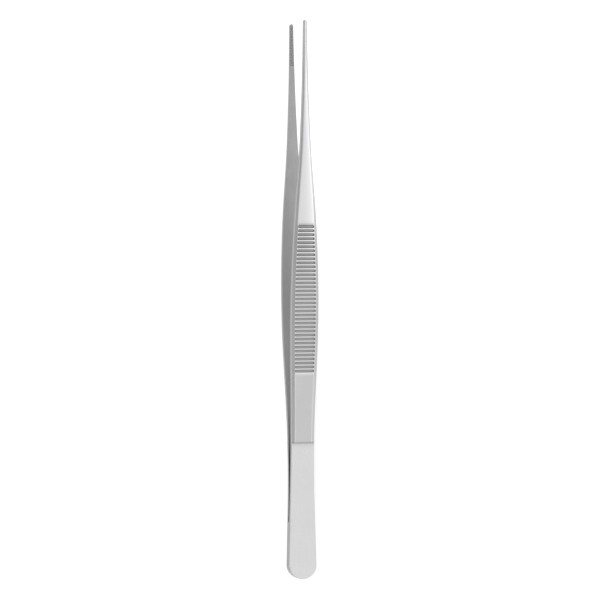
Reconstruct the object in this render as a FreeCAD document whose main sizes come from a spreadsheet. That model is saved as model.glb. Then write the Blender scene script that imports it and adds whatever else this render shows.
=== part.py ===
# Plain thumb forceps (dressing forceps): two springy stainless arms, alike but for their jaw teeth, welded
# flat to flat at the butt. Each arm is a slender bowed strip: a flat butt leaf, a ledge where the handle
# steps up, a bevelled handle with a cross-grooved grip, and a long taper to a narrow toothed jaw.
# Millimetres. An arm is drawn with its butt end at the origin, its length along +Y, its width along X and
# the weld plane at Z = 0. The pair then lies on its side, on the edges of both arms, as it rests on a tray:
# length along X with the tips towards +X, width upright, the front arm towards -Y.
import FreeCAD, Part
import math
import os
import Sketcher
from FreeCAD import Placement, Rotation, Vector

os.makedirs("parts", exist_ok=True)
doc = FreeCAD.newDocument("thumb_forceps")

# Outline seen from above, from the butt to the tips: round end, flank, neck, flare, belly, waist, tip.
SIZES = {
    "butt_width": 9.15,
    "flank_length": 21.3,
    "neck_length": 34.0,
    "flare_length": 11.0,
    "belly_length": 55.0,
    "waist_length": 4.0,
    "hollow_length": 13.0,
    "shank_length": 3.0,
    "nose_length": 26.0,
    "jaw_run_length": 7.456,
    "flank_angle": 1.5,
    "flare_angle": 1.6,
    "waist_angle": 4.8,
    "shank_angle": 2.6,
    "jaw_angle": 1.0,
    # Side view: weld, spring curve, straight rise, long bow back to nearly level, tip.
    "butt_thickness": 1.75,
    "handle_thickness": 2.15,
    "tip_thickness": 1.3,
    "tip_nose_radius": 0.7,
    "weld_length": 18.2,
    "spring_length": 31.8,
    "rise_length": 16.0,
    "inner_bow_length": 84.0,
    "outer_bow_length": 77.0,
    "spread_angle": 5.14,
    "tip_spread_angle": 0.69,
    "ledge_station": 43.6,
    "ledge_run": 1.0,
    # Bevels along both edges of the handle's outer face, widest at the grip.
    "bevel_width": 1.03,
    "bevel_tip_width": 0.42,
    "bevel_angle": 29.0,
    # Cross grooves of the grip and the teeth of the jaw.
    "groove_count": 37,
    "groove_pitch": 1.287,
    "groove_width": 0.88,
    "groove_depth": 0.3,
    "groove_start": 67.3,
    "groove_margin": 0.08,
    "tooth_count": 26,
    "tooth_pitch": 0.5,
    "tooth_depth": 0.2,
    "tooth_land": 0.08,
    "tooth_setback": 0.6,
}

sheet = doc.addObject("Spreadsheet::Sheet", "Sizes")
for row, (name, value) in enumerate(SIZES.items(), start=1):
    sheet.set(f"A{row}", name)
    sheet.set(f"B{row}", str(value))
    sheet.setAlias(f"B{row}", name)
doc.recompute()


def size(name):
    """The value of one driving size, read back from the sheet."""
    return float(sheet.get(name))


def bind(item, prop, alias):
    """Tie a property of a document object to one cell of the sheet."""
    item.setExpression(prop, f"<<Sizes>>.{alias}")


class Run:
    """A chain of lines and tangent arcs along one axis: stations, offsets and headings in radians."""

    def __init__(self, station, offset, heading):
        self.stations, self.offsets, self.headings = [station], [offset], [heading]

    def to(self, length, heading=None):
        """Go on by a length along the axis, straight or turning evenly to a new heading."""
        start = self.headings[-1]
        heading = start if heading is None else heading
        self.stations.append(self.stations[-1] + length)
        self.offsets.append(self.offsets[-1] + length * math.tan((start + heading) / 2))
        self.headings.append(heading)
        return self

    def at(self, station):
        """Offset at a station; the last line goes on past its end."""
        index = max(0, min(len(self.stations) - 2, sum(s <= station for s in self.stations) - 1))
        y0, y1 = self.stations[index], self.stations[index + 1]
        a0, a1 = self.headings[index], self.headings[index + 1]
        if a0 == a1 or station > y1:
            return self.offsets[index] + (station - y0) * math.tan(a0)
        sine = math.sin(a0) + (math.sin(a1) - math.sin(a0)) * (station - y0) / (y1 - y0)
        return self.offsets[index] + (station - y0) * math.tan((a0 + math.asin(sine)) / 2)

    def point(self, index):
        return self.stations[index], self.offsets[index]

    def middle(self, index):
        """A point halfway along the piece that starts at this index."""
        station = (self.stations[index] + self.stations[index + 1]) / 2
        return station, self.at(station)

    def radius(self, index):
        turn = math.sin(self.headings[index + 1]) - math.sin(self.headings[index])
        return (self.stations[index + 1] - self.stations[index]) / turn

    def centre(self, index):
        """Centre of the arc that starts at this index."""
        radius = self.radius(index)
        heading = self.headings[index]
        return (self.stations[index] - radius * math.sin(heading),
                self.offsets[index] + radius * math.cos(heading))


# Half outline from the end of the round butt to the start of the round tip.
butt_radius = size("butt_width") / 2
flank, flare = math.radians(size("flank_angle")), math.radians(size("flare_angle"))
waist, shank = math.radians(size("waist_angle")), math.radians(size("shank_angle"))
jaw = math.radians(size("jaw_angle"))
outline = Run(butt_radius * (1 + math.sin(flank)), butt_radius * math.cos(flank), -flank)
outline.to(size("flank_length")).to(size("neck_length"), flare).to(size("flare_length"))
outline.to(size("belly_length"), -waist).to(size("waist_length"))
outline.to(size("hollow_length"), -shank).to(size("shank_length"))
outline.to(size("nose_length"), -jaw).to(size("jaw_run_length"))
tip_radius = outline.offsets[-1] / math.cos(jaw)
overall_length = outline.stations[-1] + tip_radius * (1 - math.sin(jaw))

# Side view of the inner face, from the butt end to the tip.
spread, tip_spread = math.radians(size("spread_angle")), math.radians(size("tip_spread_angle"))
inner = Run(0, 0, 0).to(size("weld_length")).to(size("spring_length"), spread)
inner.to(size("rise_length")).to(size("inner_bow_length"), tip_spread)
inner.to(overall_length - inner.stations[-1])
bow_start = inner.stations[3]

# Side view of the outer face of the handle. Its last heading is the one that leaves the tip's thickness.
ledge_top = size("ledge_station") + size("ledge_run")
tip_height = inner.offsets[-1] + size("tip_thickness")


def outer_face(last_heading):
    rise = bow_start - ledge_top
    start = inner.offsets[3] + size("handle_thickness") - rise * math.tan(spread)
    face = Run(ledge_top, start, spread).to(rise).to(size("outer_bow_length"), last_heading)
    return face.to(overall_length - face.stations[-1])


low, high = -spread, spread
for step in range(60):
    middle_heading = (low + high) / 2
    if outer_face(middle_heading).offsets[-1] < tip_height:
        low = middle_heading
    else:
        high = middle_heading
outer = outer_face((low + high) / 2)

# The nose that rounds the tip's outer corner is tangent to the upright end and to the outer face.
nose = size("tip_nose_radius")
nose_x = overall_length - nose
nose_z = outer.at(nose_x) - nose / math.cos(outer.headings[-1])

# Outer face of the spring leaf: concentric with the inner face's spring curve, one butt thickness off.
leaf_radius = inner.radius(1) - size("butt_thickness")
leaf_centre = inner.centre(1)


def leaf_height(station):
    along = station - leaf_centre[0]
    return leaf_centre[1] - math.sqrt(leaf_radius ** 2 - along ** 2)


def bevel_width(station):
    """Width of the bevel, even up to the bow's middle and narrowing from there to the tip."""
    start = bow_start + size("inner_bow_length") / 2
    share = max(0, (station - start) / (overall_length - start))
    return size("bevel_width") + share * (size("bevel_tip_width") - size("bevel_width"))


def attach(body, sketch, role, offset=Placement()):
    planes = {feature.Role: feature for feature in body.Origin.OriginFeatures}
    sketch.AttachmentSupport = [(planes[role], "")]
    sketch.MapMode = "FlatFace"
    sketch.AttachmentOffset = offset


def add_line(sketch, start, end):
    return sketch.addGeometry(Part.LineSegment(Vector(*start, 0), Vector(*end, 0)), False)


def add_arc(sketch, start, middle, end):
    return sketch.addGeometry(Part.Arc(Vector(*start, 0), Vector(*middle, 0), Vector(*end, 0)), False)


def end_at(sketch, index, point):
    """Which end of a line or arc lies at a point: 1 or 2."""
    first = sketch.getPoint(index, 1)
    last = sketch.getPoint(index, 2)
    here = Vector(*point, 0)
    return 1 if (first - here).Length < (last - here).Length else 2


def join(sketch, kind, one, two, point):
    sketch.addConstraint(Sketcher.Constraint(
        kind, one, end_at(sketch, one, point), two, end_at(sketch, two, point)))


def hold(sketch, name, expression, *args):
    """Add a dimension whose value follows the sheet."""
    index = sketch.addConstraint(Sketcher.Constraint(*args))
    sketch.renameConstraint(index, name)
    sketch.setExpression(f"Constraints.{name}", expression)


def cell(alias):
    return f"<<Sizes>>.{alias}"


def draw_run(sketch, run, first, lengths, angles, vertical=False):
    """Draw a chain as lines and tangent arcs from one of its points on, each length and heading held."""
    place = (lambda p: (p[1], p[0])) if vertical else (lambda p: p)
    pieces = []
    for index, (length, angle) in enumerate(zip(lengths, angles), start=first):
        start, end = place(run.point(index)), place(run.point(index + 1))
        if run.headings[index] == run.headings[index + 1]:
            piece = add_line(sketch, start, end)
        else:
            piece = add_arc(sketch, start, place(run.middle(index)), end)
        if pieces:
            join(sketch, "Tangent", pieces[-1], piece, start)
        pieces.append(piece)
        if length:
            hold(sketch, length, cell(length), "DistanceY" if vertical else "DistanceX",
                 piece, end_at(sketch, piece, start), piece, end_at(sketch, piece, end),
                 run.stations[index + 1] - run.stations[index])
        if angle and vertical:
            sign = "+" if run.headings[index] < 0 else "-"
            hold(sketch, angle, f"90 deg {sign} {cell(angle)} * 1 deg",
                 "Angle", piece, math.pi / 2 - run.headings[index])
        elif angle:
            hold(sketch, angle, f"{cell(angle)} * 1 deg", "Angle", piece, run.headings[index])
    return pieces


def draw_side_view(sketch):
    """Closed side view of one arm: inner face, rounded tip, handle, ledge, spring leaf and butt end."""
    face = draw_run(sketch, inner, 0,
                    ["weld_length", "spring_length", "rise_length", "inner_bow_length", None],
                    [None, None, "spread_angle", None, "tip_spread_angle"])
    sketch.addConstraint(Sketcher.Constraint("Coincident", face[0], 1, -1, 1))
    sketch.addConstraint(Sketcher.Constraint("Horizontal", face[0]))
    tip = inner.point(5)
    sketch.addConstraint(Sketcher.Constraint("DistanceX", -1, 1, face[4], 2, overall_length))

    last = outer.headings[-1]
    nose_start = (overall_length, nose_z)
    nose_end = (nose_x - nose * math.sin(last), nose_z + nose * math.cos(last))
    half = (math.pi / 2 + last) / 2
    end_line = add_line(sketch, tip, nose_start)
    nose_arc = add_arc(sketch, nose_start, (nose_x + nose * math.cos(half), nose_z + nose * math.sin(half)),
                       nose_end)
    shank_line = add_line(sketch, nose_end, outer.point(2))
    bow = add_arc(sketch, outer.point(2), outer.middle(1), outer.point(1))
    rise = add_line(sketch, outer.point(1), outer.point(0))
    foot = (size("ledge_station"), leaf_height(size("ledge_station")))
    ledge = add_line(sketch, outer.point(0), foot)
    leaf_start = (size("weld_length"), size("butt_thickness"))
    along = (foot[0] + leaf_start[0]) / 2
    leaf = add_arc(sketch, foot, (along, leaf_height(along)), leaf_start)
    butt_top = add_line(sketch, leaf_start, (0, size("butt_thickness")))
    butt_end = add_line(sketch, (0, size("butt_thickness")), (0, 0))

    join(sketch, "Coincident", face[4], end_line, tip)
    join(sketch, "Tangent", end_line, nose_arc, nose_start)
    join(sketch, "Tangent", nose_arc, shank_line, nose_end)
    join(sketch, "Tangent", shank_line, bow, outer.point(2))
    join(sketch, "Tangent", bow, rise, outer.point(1))
    join(sketch, "Coincident", rise, ledge, outer.point(0))
    join(sketch, "Coincident", ledge, leaf, foot)
    join(sketch, "Coincident", leaf, butt_top, leaf_start)
    join(sketch, "Coincident", butt_top, butt_end, (0, size("butt_thickness")))
    join(sketch, "Coincident", butt_end, face[0], (0, 0))
    sketch.addConstraint(Sketcher.Constraint("Vertical", end_line))
    sketch.addConstraint(Sketcher.Constraint("Vertical", butt_end))
    sketch.addConstraint(Sketcher.Constraint("Horizontal", butt_top))
    sketch.addConstraint(Sketcher.Constraint("Coincident", leaf, 3, face[1], 3))
    sketch.addConstraint(Sketcher.Constraint("Vertical", butt_top, 1, face[0], 2))
    sketch.addConstraint(Sketcher.Constraint("Angle", rise, math.pi + spread))
    bow_foot = end_at(sketch, bow, outer.point(1))
    inner_foot = end_at(sketch, face[3], inner.point(3))
    sketch.addConstraint(Sketcher.Constraint("Vertical", bow, bow_foot, face[3], inner_foot))
    hold(sketch, "handle_thickness", cell("handle_thickness"),
         "DistanceY", face[3], inner_foot, bow, bow_foot, size("handle_thickness"))
    hold(sketch, "outer_bow_length", cell("outer_bow_length"), "DistanceX", bow, bow_foot,
         bow, end_at(sketch, bow, outer.point(2)), size("outer_bow_length"))
    hold(sketch, "tip_nose_radius", cell("tip_nose_radius"), "Radius", nose_arc, nose)
    hold(sketch, "butt_thickness", cell("butt_thickness"),
         "DistanceY", butt_end, 2, butt_end, 1, size("butt_thickness"))
    hold(sketch, "ledge_station", cell("ledge_station"), "DistanceX", -1, 1, ledge, 2, foot[0])
    hold(sketch, "ledge_run", cell("ledge_run"), "DistanceX", ledge, 2, ledge, 1, size("ledge_run"))

    # The corner that the nose rounds off stands one tip thickness over the inner face.
    corner = sketch.addGeometry(Part.Point(Vector(overall_length, tip_height, 0)), True)
    sketch.addConstraint(Sketcher.Constraint("PointOnObject", corner, 1, end_line))
    sketch.addConstraint(Sketcher.Constraint("PointOnObject", corner, 1, shank_line))
    hold(sketch, "tip_thickness", cell("tip_thickness"),
         "DistanceY", face[4], 2, corner, 1, size("tip_thickness"))


def draw_side_waste(sketch, margin=5.0):
    """What lies beside the right half of the outline, seen from above."""
    lengths = ["flank_length", "neck_length", "flare_length", "belly_length", "waist_length",
               "hollow_length", "shank_length", "nose_length", "jaw_run_length"]
    angles = ["flank_angle", None, "flare_angle", None, "waist_angle", None, "shank_angle", None, "jaw_angle"]
    edge = draw_run(sketch, outline, 0, lengths, angles, vertical=True)
    lean = math.pi / 4 - flank / 2
    butt = add_arc(sketch, (0, 0), (butt_radius * math.cos(flank - lean), butt_radius * (
        1 + math.sin(flank - lean))), (outline.offsets[0], outline.stations[0]))
    swing = math.pi / 4 + jaw / 2
    centre = overall_length - tip_radius
    tip = add_arc(sketch, (0, overall_length), (tip_radius * math.cos(swing), centre + tip_radius * math.sin(
        swing)), (outline.offsets[-1], outline.stations[-1]))
    join(sketch, "Tangent", butt, edge[0], (outline.offsets[0], outline.stations[0]))
    join(sketch, "Tangent", edge[-1], tip, (outline.offsets[-1], outline.stations[-1]))
    far = butt_radius + margin
    corners = [(0, overall_length), (0, overall_length + margin), (far, overall_length + margin),
               (far, -margin), (0, -margin), (0, 0)]
    frame = [add_line(sketch, one, two) for one, two in zip(corners, corners[1:])]
    join(sketch, "Coincident", tip, frame[0], corners[0])
    for one, two, corner in zip(frame, frame[1:], corners[1:]):
        join(sketch, "Coincident", one, two, corner)
    join(sketch, "Coincident", frame[-1], butt, (0, 0))
    for index in (0, 2, 4):
        sketch.addConstraint(Sketcher.Constraint("Vertical", frame[index]))
    for index in (1, 3):
        sketch.addConstraint(Sketcher.Constraint("Horizontal", frame[index]))
    sketch.addConstraint(Sketcher.Constraint("Coincident", frame[4], 2, -1, 1))
    sketch.addConstraint(Sketcher.Constraint("PointOnObject", butt, 3, -2))
    sketch.addConstraint(Sketcher.Constraint("PointOnObject", tip, 3, -2))
    sketch.addConstraint(Sketcher.Constraint("PointOnObject", frame[0], 1, -2))
    hold(sketch, "butt_radius", cell("butt_width") + " / 2", "Radius", butt, butt_radius)
    sketch.addConstraint(Sketcher.Constraint("DistanceX", -1, 1, frame[2], 1, far))
    sketch.addConstraint(Sketcher.Constraint("DistanceY", frame[0], 1, frame[0], 2, margin))
    sketch.addConstraint(Sketcher.Constraint("DistanceY", frame[4], 1, frame[4], 2, margin))


def cut_bevels(body, name, reach=0.8):
    """Plane off both outer edges of the handle with a cutter lofted through triangles along the arm."""
    slope = math.tan(math.radians(size("bevel_angle")))
    stations = [ledge_top - 0.5 * size("ledge_run"), inner.stations[2], outline.stations[2], bow_start]
    belly = outline.stations[4] - outline.stations[3]
    stations += [outline.stations[3] + belly * share for share in (0.25, 0.5, 0.75, 1)]
    stations += [outline.stations[6], outline.stations[7]]
    nose = outline.stations[8] - outline.stations[7]
    stations += [outline.stations[7] + nose * share for share in (0.33, 0.67, 1)]
    stations += [overall_length + reach]
    sections = []
    for index, station in enumerate(stations):
        sketch = body.newObject("Sketcher::SketchObject", f"{name}Bevel{index}")
        attach(body, sketch, "XZ_Plane", Placement(Vector(0, 0, -station), Rotation()))
        wide = bevel_width(station)
        face = outer.at(max(station, ledge_top))
        side = outline.at(station)
        low = (side + reach, face - (wide + reach) * slope)
        high = (side - wide - reach, face + reach * slope)
        corner = (side + reach, face + reach * slope)
        for one, two in ((low, high), (high, corner), (corner, low)):
            add_line(sketch, one, two)
        sections.append(sketch)
    doc.recompute()
    loft = body.newObject("PartDesign::SubtractiveLoft", f"{name}Bevel")
    loft.Profile = sections[0]
    loft.Sections = sections[1:]
    body.Tip = loft
    doc.recompute()
    mirror(body, loft, f"{name}BevelMirror")


def mirror(body, feature, name):
    """Repeat a cut on the other side of the arm's middle plane."""
    planes = {item.Role: item for item in body.Origin.OriginFeatures}
    copy = body.newObject("PartDesign::Mirrored", name)
    copy.Originals = [feature]
    copy.MirrorPlane = (planes["YZ_Plane"], [""])
    body.Tip = copy
    doc.recompute()


def cut_teeth(body, name, shift):
    """Fine cross teeth on the inner face of the jaw, counted back from the tip."""
    pitch, depth = size("tooth_pitch"), size("tooth_depth")
    station = overall_length - size("tooth_setback") - shift
    lean = Rotation(Vector(0, 0, 1), math.degrees(tip_spread))
    sketch = body.newObject("Sketcher::SketchObject", f"{name}ToothGap")
    attach(body, sketch, "YZ_Plane", Placement(Vector(station, inner.at(station), 0), lean))
    half = (pitch - size("tooth_land")) / 2
    below = 0.1
    spill = half * (1 + below / depth)
    left, right, top = (-half - spill, -below), (-half + spill, -below), (-half, depth)
    for one, two in ((left, right), (right, top), (top, left)):
        add_line(sketch, one, two)
    doc.recompute()
    gap = body.newObject("PartDesign::Pocket", f"{name}Tooth")
    gap.Profile = sketch
    gap.Type = "ThroughAll"
    gap.SideType = "Symmetric"
    body.Tip = gap
    doc.recompute()
    teeth = body.newObject("PartDesign::LinearPattern", f"{name}Teeth")
    teeth.Originals = [gap]
    teeth.Direction = (sketch, ["H_Axis"])
    teeth.Reversed = True
    teeth.Mode = "Spacing"
    bind(teeth, "Offset", "tooth_pitch")
    bind(teeth, "Occurrences", "tooth_count")
    body.Tip = teeth
    doc.recompute()


def groove_cutter(name):
    """Cross grooves as long as the flat between the bevels, each end rounded in four flats and the floor
    one depth under the bow."""
    slots = doc.addObject("Sketcher::SketchObject", f"{name}GripSlots")
    round_end = size("groove_width") / 2
    turns = [math.radians(angle) for angle in (-90, -45, 0, 45, 90)]
    for index in range(int(size("groove_count"))):
        station = size("groove_start") + index * size("groove_pitch")
        half = outline.at(station) - bevel_width(station) - size("groove_margin") - round_end
        right = [(half + round_end * math.cos(t), station + round_end * math.sin(t)) for t in turns]
        ring = right + [(-x, y) for x, y in reversed(right)]
        for one, two in zip(ring, ring[1:] + ring[:1]):
            add_line(slots, one, two)
    prisms = doc.addObject("Part::Extrusion", f"{name}GripPrisms")
    prisms.Base = slots
    prisms.DirMode = "Custom"
    prisms.Dir = Vector(0, 0, 1)
    prisms.LengthFwd = tip_height + butt_radius
    prisms.Solid = True

    band = doc.addObject("Sketcher::SketchObject", f"{name}GripBand")
    band.Placement = Placement(Vector(), Rotation(Vector(1, 1, 1), 120))
    centre_y, centre_z = outer.centre(1)
    radius = abs(outer.radius(1))
    first = size("groove_start") - size("groove_pitch")
    last = first + (size("groove_count") + 1) * size("groove_pitch")

    def on_ring(ring, station):
        return station, centre_z + math.sqrt(ring ** 2 - (station - centre_y) ** 2)

    floor, roof = radius - size("groove_depth"), radius + 1
    middle = (first + last) / 2
    add_arc(band, on_ring(floor, first), on_ring(floor, middle), on_ring(floor, last))
    add_line(band, on_ring(floor, last), on_ring(roof, last))
    add_arc(band, on_ring(roof, last), on_ring(roof, middle), on_ring(roof, first))
    add_line(band, on_ring(roof, first), on_ring(floor, first))
    sweep = doc.addObject("Part::Extrusion", f"{name}GripSweep")
    sweep.Base = band
    sweep.DirMode = "Custom"
    sweep.Dir = Vector(1, 0, 0)
    sweep.LengthFwd = 2 * butt_radius
    sweep.Solid = True
    sweep.Symmetric = True
    cutter = doc.addObject("Part::Common", f"{name}GripCutter")
    cutter.Base, cutter.Tool = prisms, sweep
    doc.recompute()
    return cutter


def make_arm(label, shift):
    """One arm as a body, with its grip grooves cut last; returns the finished object."""
    name = label.title().replace("_", "")
    body = doc.addObject("PartDesign::Body", f"{name}Body")
    side = body.newObject("Sketcher::SketchObject", f"{name}SideView")
    attach(body, side, "YZ_Plane")
    draw_side_view(side)
    blank = body.newObject("PartDesign::Pad", f"{name}Blank")
    blank.Profile = side
    blank.SideType = "Symmetric"
    blank.setExpression("Length", "<<Sizes>>.butt_width + 2")
    body.Tip = blank
    doc.recompute()

    above = body.newObject("Sketcher::SketchObject", f"{name}SideWaste")
    attach(body, above, "XY_Plane")
    draw_side_waste(above)
    doc.recompute()
    trim = body.newObject("PartDesign::Pocket", f"{name}Trim")
    trim.Profile = above
    trim.Type = "ThroughAll"
    trim.SideType = "Symmetric"
    body.Tip = trim
    doc.recompute()
    mirror(body, trim, f"{name}TrimMirror")
    cut_bevels(body, name)
    cut_teeth(body, name, shift)
    arm = doc.addObject("Part::Cut", name)
    arm.Base, arm.Tool = body, groove_cutter(name)
    arm.Label = label
    doc.recompute()
    return arm


front = make_arm("front_arm", 0)
rear = make_arm("rear_arm", size("tooth_pitch") / 2)

# At rest one side of the butt and the belly of both arms touch the ground. The lean is that of the line
# tangent to the butt's round and to the belly's arc, and it is all but nothing.
belly_station, belly_offset = outline.centre(3)
belly_radius = abs(outline.radius(3))
across = belly_station - butt_radius
lean = math.asin((butt_radius - belly_radius) / math.hypot(across, belly_offset)) - math.atan2(
    belly_offset, across)
back_end = -butt_radius * (1 - math.cos(lean))
front_end = (overall_length - tip_radius) * math.cos(lean) + tip_radius
lift = butt_radius * (1 + math.sin(lean))
on_side = Rotation(Vector(0, 0, -1), Vector(1, 0, 0), Vector(0, -1, 0), "ZXY")
level = Rotation(Vector(0, 1, 0), math.degrees(lean))
rest = Placement(Vector(-(back_end + front_end) / 2, 0, lift), level.multiply(on_side))
half_turn = Placement(Vector(), Rotation(Vector(0, 1, 0), 180))
front.Placement = rest
rear.Placement = rest.multiply(half_turn)
doc.recompute()

ARMS = [front, rear]
for item in doc.Objects:
    broken = {"Invalid", "Error"} & set(item.State)
    if broken:
        raise RuntimeError(f"{item.Name} failed: {item.State}")
for arm in ARMS:
    if arm.Shape.isNull() or not arm.Shape.isValid() or len(arm.Shape.Solids) != 1:
        raise RuntimeError(f"{arm.Label} is not one valid solid")
    arm.Shape.exportStep(os.path.join("parts", arm.Label + ".step"))
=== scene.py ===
"""Thumb forceps: two sprung stainless arms with a cross-grooved grip and toothed jaws."""
import math
from types import SimpleNamespace

import bmesh
import bpy
import numpy as np
from bpy.props import FloatProperty, FloatVectorProperty, IntProperty, PointerProperty
from bpy.types import Operator, Panel, PropertyGroup
from mathutils import Matrix, Vector


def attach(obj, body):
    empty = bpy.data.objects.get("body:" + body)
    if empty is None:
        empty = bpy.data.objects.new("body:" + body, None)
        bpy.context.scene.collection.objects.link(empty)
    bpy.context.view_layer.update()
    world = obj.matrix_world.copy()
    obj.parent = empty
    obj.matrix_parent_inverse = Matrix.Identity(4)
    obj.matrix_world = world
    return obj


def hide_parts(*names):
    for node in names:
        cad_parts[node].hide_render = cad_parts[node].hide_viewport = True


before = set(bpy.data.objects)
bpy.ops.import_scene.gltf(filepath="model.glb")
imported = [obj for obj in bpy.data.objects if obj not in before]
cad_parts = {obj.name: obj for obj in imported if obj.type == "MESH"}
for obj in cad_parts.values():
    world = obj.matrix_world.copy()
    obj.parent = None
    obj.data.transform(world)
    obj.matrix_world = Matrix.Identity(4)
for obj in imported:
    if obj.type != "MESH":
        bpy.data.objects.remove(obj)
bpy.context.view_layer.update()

bl_info = {
    "name": "Thumb Forceps",
    "version": (1, 0, 0),
    "blender": (4, 5, 0),
    "location": "3D View > Sidebar > Forceps",
    "description": "Builds a pair of slender thumb forceps with a grooved grip and toothed jaws",
    "category": "Add Mesh",
}

MM = 0.001

# Where milling, grinding and polishing, and the painted light and shade, start and end, in
# millimetres.
SHARP = 0.004  # radius of an edge that is as good as sharp
CREASE_ROUND = 0.05  # length over which the crease between flat and bevel is rounded
CREASE_HIGHLIGHT_REACH = 0.13  # reach of the crease's painted highlight to either side
CREASE_STEP = (-0.03, 0.05)  # stretch over which the tone changes from flat to bevel: the bevel's painted shade comes in and the flat's painted highlight goes
CREASE_GAP = 0.1  # half width of the strip along the crease where a cross-section has close steps
GROOVE_FLOOR = (0.1, 0.6)  # stretch from floor to wall, in half widths from a groove's middle line
GROOVE_LIP = (1.0, 1.15)  # stretch over which the wall's painted shade ends, in the same measure
LIP_LOSS = 0.04  # height that polishing takes off the lips of the grooves
LIP_FADE = 0.08  # reach of that loss beyond a lip
RIDGE_HIGHLIGHT_REACH = 0.165  # reach of the painted highlight to either side of a ridge's middle
BEVEL_START = 0.1  # how far ahead of the ledge's foot and top the bevels start and are full
CROWN_RISE = 6.0  # length over which the crown rises, from the ledge's top
RELIEF_START = 0.5  # length over which the relief starts, from the weld
RELIEF_END = (-4.0, 8.0)  # stretch over which the relief ends, from the ledge's foot
INNER_EDGE_START = 3.0  # length over which the inner edges become round, from the weld
WELD_SHADE_END = (-6.0, 2.0)  # stretch over which the painted shade between the leaves near the weld ends, from the ledge's foot
INNER_LIGHT_START = 14.0  # length over which the painted light on the inner face starts, from the ledge's foot
INNER_LIGHT_END = (65.0, 135.0)  # stations between which it ends
LEDGE_SHADE = (-1.3, 0.0)  # stretch over which the painted shade behind the ledge starts, from the foot
LEDGE_SLOPE = (-0.1, 0.3)  # stretch over which the painted shade on the ledge's slope starts, from the foot
LEDGE_TOP = (-0.4, 0.0)  # stretch over which it ends, from the ledge's top
TAPER_START = 0.6  # length over which the taper's painted highlight starts, from the grip's end
TIP_HIGHLIGHT_STRETCH = (-45.0, -10.0)  # stretch over which it grows stronger still towards the tip, from the tip
RUN_OUT = (0.3, 1.3)  # stretch over which the painted shade past the last groove ends, from its lip
LOWER_GRIP_END = (88.0, 112.0)  # stations between which the lower grip's weaker painted shade in the grooves ends
SHADED_BEVEL_START = -6.0  # start of the bevels' painted shade, from the first groove

# How strong each tone is, from 0 for none to 1 for full.
GROOVE_FLOOR_SHADE = 0.4  # middle of a groove's floor, against its walls
LOWER_GRIP_SHADE = 0.72  # grooves of the lower grip, against those of the upper
RUN_OUT_SHADE = 0.36
LEDGE_SHADE_STRENGTH = 0.12
LEDGE_SLOPE_SHADE = 0.33
BEVEL_SHADE = 0.2
TOOTH_SHADE = 0.1
BUTT_HIGHLIGHT = 0.38  # butt and taper, against the plain handle
TIP_HIGHLIGHT = 0.5  # what the tip has beyond that
EDGE_HIGHLIGHT = 0.5
INNER_LIGHT = 0.32  # painted light on the inner face, where the arms stand apart
WEAK_CREASE_HIGHLIGHT = 0.5  # painted highlight of one crease, against the other


def srgb(code):
    """A hex colour as written for the screen, turned to the linear values that the shaders use."""
    parts = [int(code[i:i + 2], 16) / 255 for i in (1, 3, 5)]
    return [c / 12.92 if c <= 0.04045 else ((c + 0.055) / 1.055) ** 2.4 for c in parts]


def length(name, description, value):
    """A size in millimetres as a property that Blender shows in the scene's unit of length."""
    return FloatProperty(name=name, description=description, default=value * MM, unit="LENGTH",
                         precision=6)


def angle(name, description, value):
    """An angle in degrees as a property."""
    return FloatProperty(name=name, description=description, default=math.radians(value),
                         subtype="ANGLE")


def colour(name, description, code):
    """A colour given as it looks on the screen."""
    return FloatVectorProperty(name=name, description=description, default=srgb(code),
                               subtype="COLOR", min=0, max=1)


class ForcepsOutline(PropertyGroup):
    """Half outline seen square to the arm, from the round butt to the round tip."""
    butt_width: length("Butt Width", "Width across the round butt", 9.15)
    flank: length("Flank", "Straight flank beyond the round butt", 21.3)
    neck: length("Neck", "Hollow curve of the neck", 34.0)
    flare: length("Flare", "Straight flare from the neck to the grip", 11.0)
    belly: length("Belly", "Full curve of the grip", 55.0)
    waist: length("Waist", "Straight run behind the shank", 4.0)
    hollow: length("Hollow", "Hollow curve into the shank", 13.0)
    shank: length("Shank", "Straight shank", 3.0)
    nose: length("Nose", "Curve from the shank to the jaw", 26.0)
    jaw: length("Jaw", "Straight run of the jaw", 7.456)
    flank_angle: angle("Flank Angle", "Narrowing of the flank", 1.5)
    flare_angle: angle("Flare Angle", "Widening of the flare", 1.6)
    waist_angle: angle("Waist Angle", "Narrowing of the waist", 4.8)
    shank_angle: angle("Shank Angle", "Narrowing of the shank", 2.6)
    jaw_angle: angle("Jaw Angle", "Narrowing of the jaw", 1.0)


class ForcepsSideView(PropertyGroup):
    """Thicknesses and spring curve of one arm, seen from its edge."""
    butt_thickness: length("Butt Thickness", "Thickness of the butt leaf", 1.75)
    handle_thickness: length("Handle Thickness", "Thickness of the handle", 2.15)
    tip_thickness: length("Tip Thickness", "Thickness at the tip", 1.3)
    tip_nose: length("Tip Nose", "Radius on the tip's outer corner", 0.7)
    weld: length("Weld", "Welded length of the butt", 18.2)
    spring: length("Spring Curve", "Curve that opens the arm", 31.8)
    rise: length("Rise", "Straight run ahead of the spring curve", 16.0)
    inner_bow: length("Inner Bow", "Long curve of the inner face back towards level", 84.0)
    outer_bow: length("Outer Bow", "Long curve of the outer face back towards level", 77.0)
    spread: angle("Spread", "Heading of the straight rise", 5.14)
    tip_spread: angle("Tip Spread", "Heading of the jaw's inner face", 0.69)
    ledge: length("Ledge", "Station of the foot of the ledge", 43.6)
    ledge_run: length("Ledge Run", "Length over which the ledge climbs", 1.0)
    bevel: length("Bevel", "Width of the bevels on the grip", 1.03)
    bevel_tip: length("Bevel at Tip", "Width of the bevels at the tip", 0.42)
    bevel_angle: angle("Bevel Angle", "Slope of the bevels", 29.0)
    edge: length("Edge Rounding", "Radius that polishing leaves on the outer edges", 0.16)
    inner_edge: length("Inner Edge Rounding", "Radius on the inner edges of the arms", 0.09)
    crown: length("Crown", "How far the ground outer face stands up along its middle", 0.07)
    relief: length("Relief", "Depth ground off the inner face of the spring ahead of the weld", 0.42)


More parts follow.
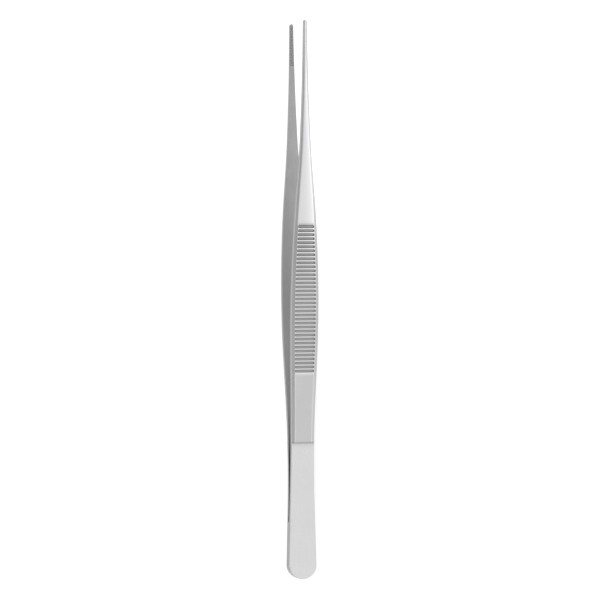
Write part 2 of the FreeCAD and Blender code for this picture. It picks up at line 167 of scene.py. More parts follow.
class ForcepsCuts(PropertyGroup):
    """Cross grooves of the grip and teeth of the jaw."""
    grooves: IntProperty(name="Grooves", description="Number of cross grooves in the grip",
                         default=37, min=1)
    groove_pitch: length("Groove Pitch", "Distance from groove to groove", 1.287)
    groove_width: length("Groove Width", "Width of one groove", 0.88)
    groove_depth: length("Groove Depth", "Depth of one groove", 0.3)
    groove_start: length("Groove Start", "Station of the first groove", 67.3)
    groove_margin: length("Groove Margin", "Flat left between groove end and bevel", 0.08)
    teeth: IntProperty(name="Teeth", description="Number of cross teeth in each jaw",
                       default=26, min=1)
    tooth_pitch: length("Tooth Pitch", "Distance from tooth to tooth", 0.5)
    tooth_depth: length("Tooth Depth", "Depth of the gap between teeth", 0.2)
    tooth_land: length("Tooth Land", "Flat left on top of each tooth", 0.08)
    tooth_setback: length("Tooth Setback", "Distance from the tip to the last gap", 0.6)


class ForcepsFinish(PropertyGroup):
    """Colours of the steel and of the studio."""
    steel: colour("Steel", "Satin-ground stainless steel", "#C8C8C9")
    # This colour is the dark tone of the milled walls, and also paints shade in the grooves, past the
    # last groove, on the ledge, on the bevels beside the grip and in the jaw's teeth.
    groove: colour("Groove", "Steel on the walls of the cuts, left as milled", "#6F6F71")
    # This colour paints highlights on ridges, creases, edges, butt and taper, and painted light on
    # part of the inner face.
    bright: colour("Bright", "Steel where it is polished finer or worn bright", "#F2F2F3")
    # This colour darkens the inner faces, partly as painted shade between the arms and partly for
    # their blasted finish.
    inner: colour("Inner", "Steel on the blasted inner faces", "#AFAFB0")
    # This colour is painted shade on the inner faces between the leaves, near the weld.
    weld_gap_shade: colour("Temper", "Steel darkened by the weld's heat between the leaves", "#6B6A69")
    floor: colour("Floor", "Pale floor", "#F2F2F2")


GROUPS = {
    "forceps_outline": ForcepsOutline,
    "forceps_side": ForcepsSideView,
    "forceps_cuts": ForcepsCuts,
    "forceps_finish": ForcepsFinish,
}


def read_sizes(*groups):
    """The sizes of the groups by name, with lengths in millimetres."""
    sizes = {}
    for group in groups:
        for key, rule in group.bl_rna.properties.items():
            if key not in {"rna_type", "name"}:
                in_metres = rule.type == "FLOAT" and rule.unit == "LENGTH"
                sizes[key] = getattr(group, key) / MM if in_metres else getattr(group, key)
    return SimpleNamespace(**sizes)


def chain(start, legs):
    """Stations, offsets and headings of a chain of lines and tangent arcs. Each leg goes on by a
    length along the axis, straight, or turning evenly to a new heading. An arc rises by its length
    times the tangent of its mean heading."""
    rows = [start]
    for run, heading in legs:
        station, offset, before = rows[-1]
        heading = before if heading is None else heading
        rows.append((station + run, offset + run * math.tan((before + heading) / 2), heading))
    return tuple(np.array(column) for column in zip(*rows))


def along(run, y):
    """Offset and heading of a chain at stations y. On an arc the sine of the heading grows evenly."""
    stations, offsets, headings = run
    i = np.clip(np.searchsorted(stations, y, side="right") - 1, 0, len(stations) - 2)
    share = (y - stations[i]) / (stations[i + 1] - stations[i])
    sine = np.sin(headings[i]) * (1 - share) + np.sin(headings[i + 1]) * share
    heading = np.arcsin(sine)
    return offsets[i] + (y - stations[i]) * np.tan((headings[i] + heading) / 2), heading


def ease(value, low, high):
    """Smooth step from 0 at low to 1 at high, with level ends: three times the square of the share
    less twice its cube."""
    t = np.clip((value - low) / (high - low), 0, 1)
    return t * t * (3 - 2 * t)


def bell(value, reach):
    """1 at 0, falling evenly to both sides: the exponential of less the square of value over
    reach."""
    return np.exp(-(value / reach) ** 2)


class ArmShape:
    """The faces of one arm in its own axes, in millimetres. The station y runs from the butt's end to
    the tip, x is the distance from the middle line, and z is the height over the inner face at the
    weld. inset is a place's distance from the arm's edge. side is 1 on the flanks and falls to 0
    round the butt and the tip, where there is no bevel. shift moves the teeth towards the butt by a
    share of their pitch."""

    def __init__(self, scene, shift):
        s = self.size = read_sizes(scene.forceps_outline, scene.forceps_side, scene.forceps_cuts)
        self.shift = shift * s.tooth_pitch
        # Stations: the top of the ledge, the middle and the far lip of the last groove, the end of
        # the grip, and the start of the bow.
        self.top = s.ledge + s.ledge_run
        self.groove_half = s.groove_width / 2
        self.last_groove = s.groove_start + (s.grooves - 1) * s.groove_pitch
        self.lip = self.last_groove + self.groove_half
        self.grip_end = self.last_groove + s.groove_pitch / 2
        self.bow = s.weld + s.spring + s.rise
        # The half outline runs between the round ends, whose radii are butt and tip.
        self.butt = s.butt_width / 2
        start = (self.butt * (1 + math.sin(s.flank_angle)), self.butt * math.cos(s.flank_angle),
                 -s.flank_angle)
        self.plan = chain(start, [
            (s.flank, None), (s.neck, s.flare_angle), (s.flare, None), (s.belly, -s.waist_angle),
            (s.waist, None), (s.hollow, -s.shank_angle), (s.shank, None), (s.nose, -s.jaw_angle),
            (s.jaw, None)])
        self.first, self.last = self.plan[0][0], self.plan[0][-1]
        self.tip = self.plan[1][-1] / math.cos(s.jaw_angle)
        self.long = self.last + self.tip * (1 - math.sin(s.jaw_angle))
        # The side view: inner and outer face.
        self.inner = chain((0, 0, 0), [
            (s.weld, None), (s.spring, s.spread), (s.rise, None), (s.inner_bow, s.tip_spread),
            (self.long - self.bow - s.inner_bow, None)])
        self.outer = self.close_outer(self.inner[1][-1] + s.tip_thickness)

    def close_outer(self, tip_height):
        """Outer face of the handle. Its last heading is halved in on, so that the tip's thickness
        holds."""
        s = self.size
        rise = self.bow - self.top
        start = self.inner[1][3] + s.handle_thickness - rise * math.tan(s.spread)
        low, high = -s.spread, s.spread
        for _ in range(60):
            last = (low + high) / 2
            face = chain((self.top, start, s.spread), [
                (rise, None), (s.outer_bow, last), (self.long - self.bow - s.outer_bow, None)])
            low, high = (last, high) if face[1][-1] < tip_height else (low, last)
        return face

    def bevel(self, y):
        """Width of the bevel: even up to the middle of the bow, then narrowing evenly to the tip."""
        s = self.size
        start = self.bow + s.inner_bow / 2
        return s.bevel + np.clip((y - start) / (self.long - start), 0, 1) * (s.bevel_tip - s.bevel)

    def bevel_share(self, y, side):
        """Share of the bevel's full slope: it starts with the ledge, and ends round the butt and the
        tip."""
        return ease(y, self.size.ledge + BEVEL_START, self.top + BEVEL_START) * side

    def teeth(self, y):
        """Depth of the jaw's cross teeth: straight-sided gaps between narrow lands, nothing outside
        them."""
        s = self.size
        half = (s.tooth_pitch - s.tooth_land) / 2
        behind = (self.long - s.tooth_setback - self.shift - y) / s.tooth_pitch
        gap = np.round(np.clip(behind, 0, s.teeth - 1))
        away = np.abs(behind - gap) * s.tooth_pitch
        return s.tooth_depth * np.clip(1 - away / half, 0, 1)

    def nearest_groove(self, x, y):
        """Station of the nearest groove, half length of its middle line, which stops half a width
        short of each end, and distance to that line."""
        s = self.size
        step = np.clip(np.round((y - s.groove_start) / s.groove_pitch), 0, s.grooves - 1)
        centre = s.groove_start + step * s.groove_pitch
        reach = along(self.plan, centre)[0] - self.bevel(centre) - s.groove_margin - self.groove_half
        return centre, reach, np.hypot(np.maximum(np.abs(x) - reach, 0), y - centre)

    def on_grip(self, y, inset):
        """True on the grip's flat, where the grooves are cut, with a little room all round."""
        start, end = self.size.groove_start - 1, self.last_groove + 2
        return (y > start) & (y < end) & (inset > self.bevel(y) - 0.2)

    def groove_depth(self, x, y):
        """Depth of the grip's grooves. A groove is what a round-nosed cutter leaves: its depth is
        that of a circle over the distance to its middle line, and the circle's radius follows from
        the groove's width and depth. Polishing has taken a little off the lips."""
        s = self.size
        half = self.groove_half
        away = self.nearest_groove(x, y)[2]
        cutter = (half ** 2 + s.groove_depth ** 2) / (2 * s.groove_depth)
        floor = np.sqrt(np.maximum(cutter ** 2 - np.minimum(away, half) ** 2, 0))
        depth = np.maximum(floor - (cutter - s.groove_depth), 0)
        return depth + LIP_LOSS * np.exp(-np.maximum(away - half, 0) / LIP_FADE)

    def groove_marks(self, x, y):
        """Shares of dark milled tone with painted shade, and of painted light, on the grip. A
        groove's walls are dark as milled and with painted shade, less so on its floor and on the
        lower grip, and a painted shade follows the last one. Ridges get a painted highlight by a bell
        of the distance to their middle."""
        centre, reach, away = self.nearest_groove(x, y)
        away = away / self.groove_half
        # The painted shade in a groove is weaker on the middle of its floor and on the lower grip.
        floor = GROOVE_FLOOR_SHADE + (1 - GROOVE_FLOOR_SHADE) * ease(away, *GROOVE_FLOOR)
        worn = LOWER_GRIP_SHADE + (1 - LOWER_GRIP_SHADE) * ease(y, *LOWER_GRIP_END)
        wall = (1 - ease(away, *GROOVE_LIP)) * floor * worn
        # A painted shade runs on past the last groove's lip.
        past = y - self.lip
        run_out = RUN_OUT_SHADE * (1 - ease(past, *RUN_OUT)) * (past > 0)
        # Ridges get a painted highlight.
        ridge_highlight = bell(self.size.groove_pitch / 2 - np.abs(y - centre), RIDGE_HIGHLIGHT_REACH)
        return np.maximum(wall, run_out), ridge_highlight * (past < 0) * (np.abs(x) < reach + self.groove_half)

    def inner_height(self, y):
        """Height of the inner face: the inner chain, the relief that thins the spring just ahead of
        the weld and runs out at the handle, and the jaw's teeth."""
        s = self.size
        relief = s.relief * ease(y - s.weld, 0, RELIEF_START) * (1 - ease(y - s.ledge, *RELIEF_END))
        return along(self.inner, np.clip(y, 0, self.long))[0] + relief + self.teeth(y)

    def face_height(self, y):
        """Height of the outer face along the arm's middle: flat butt, spring leaf concentric with the
        inner curve, rounded ledge, handle chain, and the round nose at the tip."""
        s = self.size
        bend = s.spring / math.sin(s.spread)
        ahead = np.clip(y, s.weld, s.ledge) - s.weld
        leaf = bend - np.sqrt((bend - s.butt_thickness) ** 2 - ahead ** 2)
        handle = along(self.outer, np.clip(y, self.top, self.long))[0]
        height = np.where(y < self.top, leaf + (handle - leaf) * ease(y, s.ledge, self.top), handle)
        nose_y = self.long - s.tip_nose
        nose_z = along(self.outer, nose_y)[0] - s.tip_nose / math.cos(self.outer[2][-1])
        ahead = np.clip(y - nose_y, 0, s.tip_nose)
        round_end = nose_z + np.sqrt(s.tip_nose ** 2 - ahead ** 2)
        return np.where(y > nose_y, np.minimum(height, round_end), height)

    def outer_height(self, x, y, inset, side):
        """Height of the outer face: the middle line's, less the bevel, the crown's fall towards the
        sides and the grooves. The bevel falls by its slope times the distance past the crease, and
        the logarithm of one plus an exponential of that distance rounds the crease as polishing does.
        The crown is a parabola."""
        s = self.size
        wide = self.bevel(y)
        past = CREASE_ROUND * np.logaddexp(0, (wide - inset) / CREASE_ROUND)
        drop = math.tan(s.bevel_angle) * past * self.bevel_share(y, side)
        flat = along(self.plan, np.clip(y, self.butt, self.long - self.tip))[0] - wide
        from_middle = np.clip(np.abs(x) / np.maximum(flat, 0.05), 0, 1)
        crown = s.crown * ease(y, self.top, self.top + CROWN_RISE) * from_middle ** 2
        return self.face_height(y) - drop - crown - self.groove_depth(x, y) * self.on_grip(y, inset)

    def outer_marks(self, x, y, inset, side):
        """Shares of dark milled tone with painted shade, of painted light and of crease highlight on
        the outer face. Grooves are dark as milled and with painted shade, and the ledge and the
        bevels beside the grip get painted shade. Ridges, butt and taper get painted highlights, and
        so do the creases, apart from those beside the grooves."""
        s = self.size
        wide = self.bevel(y)
        on_grip = self.on_grip(y, inset)
        grooved = on_grip & (y <= self.lip)
        wall, ridge_highlight = self.groove_marks(x, y)
        bevel = ease(wide - inset, *CREASE_STEP) * self.bevel_share(y, side)
        handle = ease(y, s.ledge, self.top)
        taper = ease(y, self.grip_end, self.grip_end + TAPER_START)
        # Painted highlight along the arm: on the butt and on the taper, stronger towards the tip, and
        # none on the plain handle.
        lengthwise_highlight = BUTT_HIGHLIGHT * (1 - handle * (1 - taper))
        lengthwise_highlight = lengthwise_highlight + TIP_HIGHLIGHT * ease(y - self.long, *TIP_HIGHLIGHT_STRETCH)
        # Painted shade behind the ledge and on its slope, where the step's face lies in shadow.
        slope = LEDGE_SHADE_STRENGTH * ease(y - s.ledge, *LEDGE_SHADE)
        slope = slope + LEDGE_SLOPE_SHADE * ease(y - s.ledge, *LEDGE_SLOPE)
        slope = slope * (1 - ease(y - self.top, *LEDGE_TOP))
        # The bevels beside the grip get painted shade.
        beside_grip = ease(y, s.groove_start + SHADED_BEVEL_START, self.grip_end)
        # The crease between flat and bevel gets a painted highlight.
        crease = bell(inset - wide, CREASE_HIGHLIGHT_REACH) * handle * side
        return {
            "milled_and_shade": np.maximum(wall * on_grip, np.maximum(slope, BEVEL_SHADE * bevel * beside_grip)),
            "bright": np.where(grooved, ridge_highlight, lengthwise_highlight * (1 - bevel)) * (1 - slope),
            "crease": np.where(grooved, 0, crease) * (1 - slope),
        }

    def stations(self):
        """Stations from the end of the round butt to the start of the round tip: about a millimetre
        apart, and closer over the weld's end, the ledge, each groove from lip to lip, and each tooth.
        One that is nearly the same as the one before it is left out."""
        s = self.size
        across = self.groove_half * np.array([0.0, 0.3, 0.56, 0.78, 0.92, 1.0, 1.09, 1.24])
        across = np.concatenate([-across[:0:-1], across, [s.groove_pitch / 2]])
        grooves = s.groove_start + s.groove_pitch * np.arange(s.grooves)
        grip = (grooves[:, None] + across).ravel()
        flank = (s.tooth_pitch - s.tooth_land) / 2
        across = flank * np.array([-1.0, -0.9, -0.5, -0.1, 0, 0.1, 0.5, 0.9, 1.0])
        gaps = self.long - s.tooth_setback - self.shift - s.tooth_pitch * np.arange(s.teeth)
        jaws = (gaps[:, None] + across).ravel()
        ledge = np.linspace(s.ledge - 0.4, self.top + 0.5, 22)
        weld = np.linspace(s.weld - 0.2, s.weld + 1.2, 12)
        plain = np.concatenate([np.linspace(self.first, grip[0], 60),
                                np.linspace(grip[-1], self.last, 90)])
        for close in (ledge, weld):
            plain = plain[(plain < close[0] - 0.2) | (plain > close[-1] + 0.2)]
        plain = plain[(plain < jaws.min() - 0.1) | (plain == self.last)]
        ends = [self.first, self.last]
        y = np.unique(np.concatenate([ends, weld, plain, ledge, grip, jaws[jaws < self.last]]))
        return y[np.concatenate([[True], np.diff(y) > 0.012])]

    def edge_line(self):
        """Points and outward directions along the right edge, seen square to the arm, from the middle
        of the butt round to the middle of the tip: rows of x, y and the direction's x and y. The ends
        are arcs. On the flanks a point is set so that its cross-section meets the flat at its
        station. The first and the last point lie on the middle line."""
        s = self.size
        swing = np.linspace(-math.pi / 2, s.flank_angle, 49)[:-1]
        cos, sin = np.cos(swing), np.sin(swing)
        butt = np.stack([self.butt * cos, self.butt * (1 + sin), cos, sin])
        y = self.stations()
        heading = along(self.plan, y)[1]
        y = np.clip(y - np.sin(heading) * (self.bevel(y) + CREASE_GAP), self.first, self.last)
        wide, heading = along(self.plan, y)
        flank = np.stack([wide, y, np.cos(heading), -np.sin(heading)])
        apart = np.concatenate([[True], np.diff(y) > 0.004])
        swing = np.linspace(s.jaw_angle, math.pi / 2, 25)[1:]
        cos, sin = np.cos(swing), np.sin(swing)
        tip = np.stack([self.tip * cos, self.long - self.tip + self.tip * sin, cos, sin])
        line = np.concatenate([butt, flank[:, apart], tip], axis=1)
        line[0, [0, -1]] = line[2, [0, -1]] = 0
        return line

    def half_loop(self):
        """Half of every cross-section, from the middle of the inner face round the right edge to the
        middle of the outer face, one row a station and one column a step: arrays of x, y and z, and
        by name the marks that the steel's tones follow, which are shares of dark milled tone with
        painted shade, of painted light, of painted crease highlight, of inner face and of painted
        shade between the leaves near the weld."""
        s = self.size
        px, py, nx, ny = (part[:, None] for part in self.edge_line())
        side = nx ** 2
        columns = [[] for _ in range(6)]

        def inward(inset):
            """x and y of the places that lie inset from the edge."""
            return px - nx * inset, py - ny * inset

        def add(x, y, z, milled_and_shade=0.0, bright=0.0, crease=0.0):
            """Adds columns to the loop."""
            shape = np.broadcast_shapes(np.shape(x), np.shape(z))
            for column, value in zip(columns, (x, y, z, milled_and_shade, bright, crease)):
                column.append(np.broadcast_to(value, shape))

        def add_outer(x, y, inset):
            """Adds columns of the outer face, with its marks."""
            add(x, y, self.outer_height(x, y, inset, side), **self.outer_marks(x, y, inset, side))

        # Inner face: level across, toothed at the jaw, its edge rounded ahead of the weld. The radii
        # of this edge and of the outer one shrink where the arm's ends are narrow.
        small = SHARP + (s.inner_edge - SHARP) * ease(py, s.weld, s.weld + INNER_EDGE_START)
        small = np.minimum(small, SHARP + 0.3 * px)
        x, y = inward(small + 0.05)
        # The jaw's teeth get a painted shade that follows their depth.
        tooth = TOOTH_SHADE * self.teeth(y) / s.tooth_depth
        across = np.array([0.0, 0.3, 0.6, 0.85, 1.0])
        add(x * across, y, self.inner_height(y), tooth)
        turn = np.linspace(0, math.pi / 2, 6)
        x, y = inward(small * (1 - np.sin(turn)))
        low = self.inner_height(y)
        add(x, y, low + small * (1 - np.cos(turn)), tooth)
        low = (low + small)[:, -1:]
        inner_columns = len(across) + len(turn) // 2

        # Upright side, and the outer edge: an arc tangent to the side and to the bevel.
        edge = np.minimum(s.edge, 0.25 * self.tip + 0.12 * px)
        slope = s.bevel_angle * self.bevel_share(py, side)
        touch = edge * (1 - np.sin(slope))
        centre = self.outer_height(*inward(touch), touch, side) - edge * np.cos(slope)
        add(px, py, low + (centre - low) * np.array([0.04, 0.3, 0.6, 0.96]))
        share = np.linspace(0, 1, 8)
        turn = share * (math.pi / 2 - slope)
        x, y = inward(edge * (1 - np.cos(turn)))
        # The outer edge's arc gets a painted highlight.
        add(x, y, centre + edge * np.sin(turn), bright=EDGE_HIGHLIGHT * np.sin(math.pi * share))

        # Bevel and its crease, then the flat with the grooves, with its steps closest near the
        # crease.
        wide = self.bevel(py)
        inset = touch + (wide - CREASE_GAP - touch) * np.array([0.03, 0.2, 0.5, 0.75, 1.0])
        inset = np.concatenate([inset, wide + np.array([-0.06, -0.03, 0.0, 0.03, 0.06])], axis=1)
        add_outer(*inward(inset), inset)
        away = np.array([0.0, 0.05, 0.1, 0.155, 0.215, 0.28, 0.35, 0.43, 0.53, 0.7, 1.1, 1.7, 2.4,
                         2.9])
        across = 1 - away / away[-1]
        inset = wide + CREASE_GAP
        x, y = inward(inset)
        inset = inset + x * (1 - across)
        add_outer(x * across, np.broadcast_to(y, inset.shape), inset)

        x, y, z, milled_and_shade, bright, crease = (np.concatenate(part, axis=1) for part in columns)
        inside = np.broadcast_to(np.arange(x.shape[1]) < inner_columns, x.shape).astype(float)
        # Painted shade darkens the inner faces between the leaves, near the weld.
        weld_gap_shade = inside * (1 - ease(y - s.ledge, *WELD_SHADE_END))
        # Painted light lightens the inner face from past the ledge, fading out along the grip.
        ground = INNER_LIGHT * ease(y - s.ledge, 0, INNER_LIGHT_START) * (1 - ease(y, *INNER_LIGHT_END))
        marks = {"milled_and_shade": milled_and_shade, "bright": np.maximum(bright, ground * inside), "crease": crease,
                 "inside": inside, "weld_gap_shade": weld_gap_shade}
        return x, y, z, marks


def rest_turn(shape, rear):
    """Matrix from an arm's own axes to the resting pair. The arm's length becomes +X, its width -Z
    and its thickness -Y, the rear arm is first turned half round its length, and both lean until the
    butt's round and the belly's arc touch the floor: the lean is that of the line tangent to both."""
    # The belly is the outline's fourth leg. ahead and x say where its arc's middle lies, seen from
    # the butt's.
    stations, offsets, headings = shape.plan
    sines = np.sin(headings)
    belly = (stations[4] - stations[3]) / (sines[3] - sines[4])
    ahead = stations[3] + belly * sines[3] - shape.butt
    x = offsets[3] - belly * math.cos(headings[3])
    lean = math.asin((shape.butt - belly) / math.hypot(ahead, x)) - math.atan2(x, ahead)
    back = -shape.butt * (1 - math.cos(lean))
    front = (shape.long - shape.tip) * math.cos(lean) + shape.tip
    lift = shape.butt * (1 + math.sin(lean))
    on_side = Matrix(((0, 1, 0, 0), (0, 0, -1, 0), (-1, 0, 0, 0), (0, 0, 0, 1)))
    half_turn = Matrix.Rotation(math.pi if rear else 0, 4, "Y")
    place = Matrix.Translation((-(back + front) / 2, 0, lift))
    return place @ Matrix.Rotation(lean, 4, "Y") @ on_side @ half_turn


def closed_mesh(name, loops, marks):
    """Mesh of a stack of closed loops, given as an array of rows, steps and x, y, z in metres. Quads
    join each loop to the next, and the two ends, whose loops are flat, close when their doubles are
    merged."""
    rows, steps = loops.shape[:2]
    mesh = bpy.data.meshes.new(name)
    index = np.arange(rows * steps).reshape(rows, steps)
    after = np.roll(index, -1, axis=1)
    quads = np.stack([index[:-1], after[:-1], after[1:], index[1:]], axis=-1).reshape(-1, 4)
    mesh.from_pydata(loops.reshape(-1, 3), [], quads)
    for key, value in marks.items():
        mark = mesh.attributes.new(key, "FLOAT", "POINT")
        mark.data.foreach_set("value", value.reshape(-1).astype(np.float32))
    form = bmesh.new()
    form.from_mesh(mesh)
    bmesh.ops.remove_doubles(form, verts=form.verts, dist=2e-7)
    if form.calc_volume(signed=True) < 0:
        bmesh.ops.reverse_faces(form, faces=form.faces)
    form.to_mesh(mesh)
    form.free()
    mesh.shade_smooth()
    return mesh


def add_piece(name, mesh, material):
    """A finished piece at the origin, with its material."""
    piece = bpy.data.objects.new(name, mesh)
    bpy.context.scene.collection.objects.link(piece)
    mesh.materials.clear()
    mesh.materials.append(material)
    return piece


def node(tree, kind, inputs=None, **settings):
    """Adds a node with its settings. inputs maps socket names or numbers to a value or an output
    socket."""
    made = tree.nodes.new(kind)
    for key, value in settings.items():
        setattr(made, key, value)
    for key, value in (inputs or {}).items():
        if isinstance(value, bpy.types.NodeSocket):
            tree.links.new(value, made.inputs[key])
        else:
            made.inputs[key].default_value = value
    return made


def new_material(name):
    """An empty node material and its tree."""
    material = bpy.data.materials.new(name)
    material.use_nodes = True
    material.node_tree.nodes.clear()
    return material, material.node_tree


def satin_steel(finish):
    """Stainless steel (martensitic, hardened), ground on a belt along its length and then satin
    finished: grey, with soft reflections and a faint grain along the arm. Its tone carries painted
    highlights on ridges, creases, edges, butt and taper and on part of the inner face, and painted
    shade in the grooves, on the ledge, the bevels and the teeth and between the leaves near the weld."""
    material, tree = new_material("satin_ground_stainless")
    place = node(tree, "ShaderNodeTexCoord").outputs["Object"]
    milled_and_shade, bright, inside, weld_gap_shade = (
        node(tree, "ShaderNodeAttribute", attribute_name=key).outputs["Fac"]
        for key in ("milled_and_shade", "bright", "inside", "weld_gap_shade"))
    # Blasted inner faces are darker and rougher than the ground faces, their tone partly painted
    # shade between the arms. Milled walls are darker as milled, and the same tone paints shade past
    # the grooves, on the ledge, the bevels and the teeth. Ridges, creases, edges, butt and taper get
    # painted highlights, and painted shade darkens the inner faces near the weld. Sockets 6 and 7 are
    # the Mix node's two colours.
    tone = (*finish.steel, 1)
    for share, shade in ((inside, finish.inner), (milled_and_shade, finish.groove), (bright, finish.bright),
                         (weld_gap_shade, finish.weld_gap_shade)):
        tone = node(tree, "ShaderNodeMix", {0: share, 6: tone, 7: (*shade, 1)},
                    data_type="RGBA").outputs[2]
    # Belt marks run along the arm. Real 240 grit leaves lines of 0.05 mm, too fine to show, so they
    # are drawn 0.2 mm apart and 12.5 mm long.
    line, run = 1 / (0.2 * MM), 1 / (12.5 * MM)
    drawn = node(tree, "ShaderNodeMapping", {"Vector": place, "Scale": (run, line, line)}).outputs[0]
    grain = node(tree, "ShaderNodeTexNoise", {
        "Vector": drawn, "Scale": 1.0, "Detail": 3.0, "Roughness": 0.6}).outputs[0]
    bump = node(tree, "ShaderNodeBump", {"Height": grain, "Strength": 0.25, "Distance": 0.004 * MM})
    rough = node(tree, "ShaderNodeMapRange", {
        "Value": grain, "From Min": 0.3, "From Max": 0.7, "To Min": 0.27, "To Max": 0.37}).outputs[0]
    # Blasting and handling leave the satin uneven over about 6 mm.
    cloud = node(tree, "ShaderNodeTexNoise", {
        "Vector": place, "Scale": 1 / (6.25 * MM), "Detail": 2.0}).outputs[0]
    patchy = node(tree, "ShaderNodeMapRange", {
        "Value": cloud, "From Min": 0.35, "From Max": 0.65, "To Min": -0.03, "To Max": 0.03})
    rough = node(tree, "ShaderNodeMath", {0: rough, 1: patchy.outputs[0]}, operation="ADD").outputs[0]
    # Milled walls are rougher than the ground faces, and the inner faces, which are only blasted,
    # still more.
    for share, gain in ((milled_and_shade, 0.12), (inside, 0.3)):
        rough = node(tree, "ShaderNodeMath", {0: share, 1: gain, 2: rough},
                     operation="MULTIPLY_ADD").outputs[0]
    shader = node(tree, "ShaderNodeBsdfPrincipled", {
        "Base Color": tone, "Roughness": rough, "Normal": bump.outputs[0], "Metallic": 1.0})
    node(tree, "ShaderNodeOutputMaterial", {0: shader.outputs[0]})
    return material


def seen_ray(tree):
    """1 for the camera's rays and for those that metal and glass pass on to it, 0 for rays that only
    bring light."""
    path = node(tree, "ShaderNodeLightPath").outputs
    seen = node(tree, "ShaderNodeMath", {0: path["Is Camera Ray"], 1: path["Is Glossy Ray"]},
                operation="ADD")
    seen = node(tree, "ShaderNodeMath", {0: seen.outputs[0], 1: path["Is Transmission Ray"]},
                operation="ADD", use_clamp=True)
    return seen.outputs[0]


def studio_paper(finish):
    """Matt white studio paper, even and without sheen. It keeps a soft shadow of what lies on it, and
    otherwise shows white to the camera, and white with two painted pools of light in the reflections
    of the metal."""
    material, tree = new_material("matt_studio_paper")
    place = node(tree, "ShaderNodeTexCoord").outputs["Object"]
    # Two soft ovals of painted light lie on the paper, given by middle and radii in metres and by
    # strength: a wide pool under the taper, and a strip close before the front arm, which the metal
    # shows in its reflections. Elsewhere the paper is plain white.
    light = 1.07
    for middle, radii, gain in (((0.05, 0, 0), (0.06, 0.035, 1), 0.45),
                                ((0.035, -0.012, 0), (0.045, 0.0045, 1), 0.55)):
        oval = node(tree, "ShaderNodeMapping", {"Vector": place, "Location": middle, "Scale": radii},
                    vector_type="TEXTURE").outputs[0]
        away = node(tree, "ShaderNodeVectorMath", {0: oval}, operation="LENGTH").outputs["Value"]
        glow = node(tree, "ShaderNodeMapRange", {"Value": away, "To Min": gain, "To Max": 0.0},
                    interpolation_type="SMOOTHSTEP").outputs[0]
        light = node(tree, "ShaderNodeMath", {0: glow, 1: light}, operation="ADD").outputs[0]
    matt = node(tree, "ShaderNodeBsdfDiffuse", {"Color": (*finish.floor, 1)}).outputs[0]
    white = node(tree, "ShaderNodeEmission", {"Color": (1, 1, 1, 1), "Strength": light}).outputs[0]
    # What is seen is 0.85 of that light, and for the rest the lit paper, which holds the shadow.
    seen = node(tree, "ShaderNodeMath", {0: seen_ray(tree), 1: 0.85}, operation="MULTIPLY").outputs[0]
    shown = node(tree, "ShaderNodeMixShader", {0: seen, 1: matt, 2: white})
    node(tree, "ShaderNodeOutputMaterial", {0: shown.outputs[0]})
    return material


def add_world(scene):
    """A studio tent. The camera and the metal see it white at the horizon and dimmer from there up to
    about 24 degrees, where the height of the view's direction is 0.4. The light that it throws is
    even."""
    world = bpy.data.worlds.new("studio_tent")
    world.use_nodes = True
    tree = world.node_tree
    tree.nodes.clear()
    way = node(tree, "ShaderNodeTexCoord").outputs["Generated"]
    height = node(tree, "ShaderNodeSeparateXYZ", {0: way}).outputs["Z"]
    wall = node(tree, "ShaderNodeMapRange", {
        "Value": height, "From Max": 0.4, "To Min": 1.0, "To Max": 0.53}).outputs[0]
    tent = node(tree, "ShaderNodeBackground", {"Color": (1, 1, 1, 1), "Strength": wall}).outputs[0]
    plain = node(tree, "ShaderNodeBackground", {"Color": (1, 1, 1, 1), "Strength": 0.9}).outputs[0]
    shown = node(tree, "ShaderNodeMixShader", {0: seen_ray(tree), 1: plain, 2: tent})
    node(tree, "ShaderNodeOutputWorld", {0: shown.outputs[0]})
    scene.world = world


def add_lamp(scene):
    """A weak soft box above and a little before the forceps, turned towards them."""
    data = bpy.data.lights.new("overhead_box", "AREA")
    data.shape = "SQUARE"
    data.size = 0.8
    data.energy = 1.5
    lamp = bpy.data.objects.new("overhead_box", data)
    lamp.location = (0.0, -0.25, 0.9)
    lamp.rotation_euler = (-Vector(lamp.location)).to_track_quat("-Z", "Y").to_euler()
    scene.collection.objects.link(lamp)


def add_camera(scene):
    """Looks square at the front arm from 16 degrees above the floor, with the tips at the top of the
    picture. lean is how far the forceps stand off upright there. The lens is set so that the picture
    is as wide as width at the aim."""
    distance, width, sensor = 0.98, 0.1940, 36
    raised, lean = math.radians(16.0), math.radians(0.40)
    aim = Vector((0.00015, 0.0, 0.00446))
    back = Vector((0, -math.cos(raised), math.sin(raised)))
    up = (Matrix.Rotation(-lean, 3, back) @ Vector((1, 0, 0))).normalized()
    right = up.cross(back).normalized()
    data = bpy.data.cameras.new("camera")
    data.sensor_width = sensor
    data.lens = sensor * distance / width
    data.clip_start, data.clip_end = 0.05, 20
    camera = bpy.data.objects.new("camera", data)
    axes = Matrix((right, up, back)).transposed().to_4x4()
    camera.matrix_world = Matrix.Translation(aim + back * distance) @ axes
    scene.collection.objects.link(camera)
    scene.camera = camera


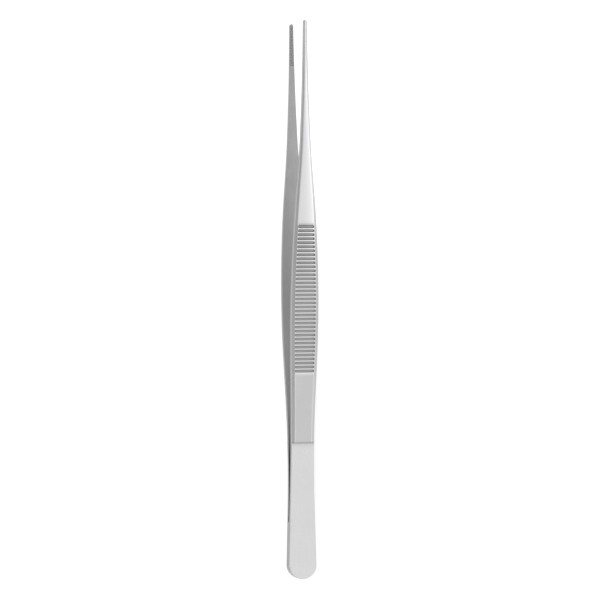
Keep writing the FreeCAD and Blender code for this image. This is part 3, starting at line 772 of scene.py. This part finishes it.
class FORCEPS_OT_arms(Operator):
    """Build the front and rear arm of the forceps"""
    bl_idname = "forceps.arms"
    bl_label = "Arms"
    bl_options = {"REGISTER", "UNDO"}

    def execute(self, context):
        scene = context.scene
        steel = satin_steel(scene.forceps_finish)
        for name, shift, rear in (("front_arm", 0.0, False), ("rear_arm", 0.5, True)):
            shape = ArmShape(scene, shift)
            x, y, z, marks = shape.half_loop()
            # The left half mirrors the right one, without its first and last column.
            left = slice(-2, 0, -1)
            loops = np.stack([np.concatenate([part, sign * part[:, left]], axis=1)
                              for part, sign in ((x, -1), (y, 1), (z, 1))], axis=-1)
            marks = {key: np.concatenate([mark, mark[:, left]], axis=1)
                     for key, mark in marks.items()}
            # The left crease gets a stronger painted highlight than the right.
            crease = marks.pop("crease")
            crease[:, :x.shape[1]] *= WEAK_CREASE_HIGHLIGHT
            marks["bright"] = np.maximum(marks["bright"], crease)
            turn = np.array(rest_turn(shape, rear))
            loops = (loops @ turn[:3, :3].T + turn[:3, 3]) * MM
            piece = add_piece(f"dressed_{name}", closed_mesh(f"dressed_{name}", loops, marks), steel)
            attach(piece, "root")
            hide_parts(name)
        return {"FINISHED"}


class FORCEPS_OT_stage(Operator):
    """Add the pale floor, the soft studio lamp, the white surround and the camera"""
    bl_idname = "forceps.stage"
    bl_label = "Stage"
    bl_options = {"REGISTER", "UNDO"}

    def execute(self, context):
        scene = context.scene
        mesh = bpy.data.meshes.new("floor")
        reach = 6.0
        corners = [(-reach, -reach, 0), (reach, -reach, 0), (reach, reach, 0), (-reach, reach, 0)]
        mesh.from_pydata(corners, [], [(0, 1, 2, 3)])
        floor = add_piece("floor", mesh, studio_paper(scene.forceps_finish))
        add_world(scene)
        add_lamp(scene)
        add_camera(scene)
        scene.view_settings.view_transform = "Standard"
        return {"FINISHED"}


class FORCEPS_PT_panel(Panel):
    """Sizes and build steps of the forceps"""
    bl_idname = "FORCEPS_PT_panel"
    bl_label = "Thumb Forceps"
    bl_space_type = "VIEW_3D"
    bl_region_type = "UI"
    bl_category = "Forceps"

    def draw(self, context):
        for operator in OPERATORS:
            self.layout.operator(operator.bl_idname)
        for key, group in GROUPS.items():
            box = self.layout.box()
            box.label(text=key.replace("forceps_", "").title())
            for name in group.__annotations__:
                box.prop(getattr(context.scene, key), name)


OPERATORS = (FORCEPS_OT_arms, FORCEPS_OT_stage)
CLASSES = (*GROUPS.values(), *OPERATORS, FORCEPS_PT_panel)


def register():
    for item in CLASSES:
        bpy.utils.register_class(item)
    for key, group in GROUPS.items():
        setattr(bpy.types.Scene, key, PointerProperty(type=group))


def unregister():
    for key in GROUPS:
        delattr(bpy.types.Scene, key)
    for item in reversed(CLASSES):
        bpy.utils.unregister_class(item)


def main():
    register()
    bpy.ops.forceps.arms()
    bpy.ops.forceps.stage()


if __name__ == "__main__":
    main()
